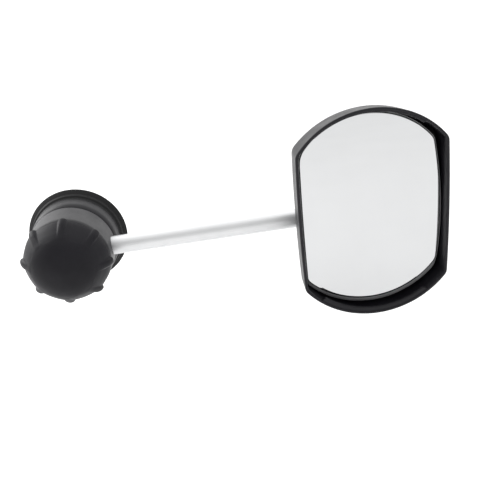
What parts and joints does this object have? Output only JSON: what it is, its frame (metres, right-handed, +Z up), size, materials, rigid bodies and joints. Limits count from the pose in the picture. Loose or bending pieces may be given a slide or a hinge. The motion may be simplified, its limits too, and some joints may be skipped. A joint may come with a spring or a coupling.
{
  "type": "towing mirror",
  "caption": "Suction-mounted towing mirror: a lobed knob on a rubber cup, a tubular swivelling arm and a large convex mirror head on a ball joint.",
  "frame": {"origin": "centre of the flat face of the suction pad", "axes": "+X along the arm towards the mirror head, -Y out of the knob and the glass, +Y out of the suction face, +Z up"},
  "size_m": [0.3602, 0.0859, 0.176],
  "materials": {
    "pad_rubber": "matte",
    "cup_plastic": "satin",
    "arm_plastic": "satin",
    "knob_plastic": "satin",
    "case_plastic": "satin moulded texture",
    "carrier_plastic": "satin",
    "tube_aluminium": "satin anodised",
    "fastener_steel": "zinc plated",
    "bearing_nylon": "natural",
    "foam": "open cell foam",
    "mirror_silver": "polished, convex"
  },
  "bodies": {
    "cup": {"suction_pad": "pad_rubber", "cup_shell": "cup_plastic", "pivot_washer": "bearing_nylon"},
    "stud": {"lift_stud": "fastener_steel", "lift_plate": "fastener_steel"},
    "knob": {"knob_body": "knob_plastic", "knob_nut": "fastener_steel", "thrust_washer": "fastener_steel"},
    "arm": {"arm_housing": "arm_plastic", "housing_plate": "arm_plastic", "plate_screw_1": "fastener_steel", "plate_screw_2": "fastener_steel", "plate_screw_3": "fastener_steel", "arm_tube": "tube_aluminium", "tube_pin": "fastener_steel", "ball_spindle": "fastener_steel", "spindle_pin": "fastener_steel", "spindle_washer": "fastener_steel", "spindle_screw": "fastener_steel"},
    "ball": {"pivot_ball": "bearing_nylon"},
    "liner": {"liner_upper": "bearing_nylon", "liner_lower": "bearing_nylon"},
    "head": {"mirror_case": "case_plastic", "socket_base": "case_plastic", "socket_cap": "case_plastic", "clamp_screw_1": "fastener_steel", "clamp_screw_2": "fastener_steel", "clamp_screw_3": "fastener_steel", "clamp_screw_4": "fastener_steel", "clamp_nut_1": "fastener_steel", "clamp_nut_2": "fastener_steel", "clamp_nut_3": "fastener_steel", "clamp_nut_4": "fastener_steel", "base_screw_1": "fastener_steel", "base_screw_2": "fastener_steel", "base_screw_3": "fastener_steel", "glass_carrier": "carrier_plastic", "carrier_screw_1": "fastener_steel", "carrier_screw_2": "fastener_steel", "carrier_screw_3": "fastener_steel", "carrier_screw_4": "fastener_steel", "foam_pad": "foam", "mirror_glass": "mirror_silver"}
  },
  "joints": [
    {"name": "knob_turn", "type": "hinge", "parent": "cup", "child": "knob", "pos_m": [0, -0.0655, 0], "axis": [0, 1, 0], "range_deg": [0, 720]},
    {"name": "stud_lift", "type": "slide", "parent": "cup", "child": "stud", "axis": [0, -1, 0], "range_m": [0, 0.003]},
    {"name": "arm_swivel", "type": "hinge", "parent": "cup", "child": "arm", "pos_m": [0, -0.0382, 0], "axis": [0, -1, 0], "continuous": true},
    {"name": "head_roll", "type": "hinge", "parent": "arm", "child": "ball", "pos_m": [0.254, -0.0382, 0], "axis": [1, 0, 0], "continuous": true},
    {"name": "head_tilt", "type": "hinge", "parent": "ball", "child": "liner", "pos_m": [0.254, -0.0382, 0], "axis": [0, 0, 1], "range_deg": [-10, 10]},
    {"name": "head_swing", "type": "hinge", "parent": "liner", "child": "head", "pos_m": [0.254, -0.0382, 0], "axis": [0, -1, 0], "range_deg": [-15, 15]}
  ],
  "couplings": [
    {"joint": "stud_lift", "follows": "knob_turn", "m_per_rad": 0.0002387}
  ]
}
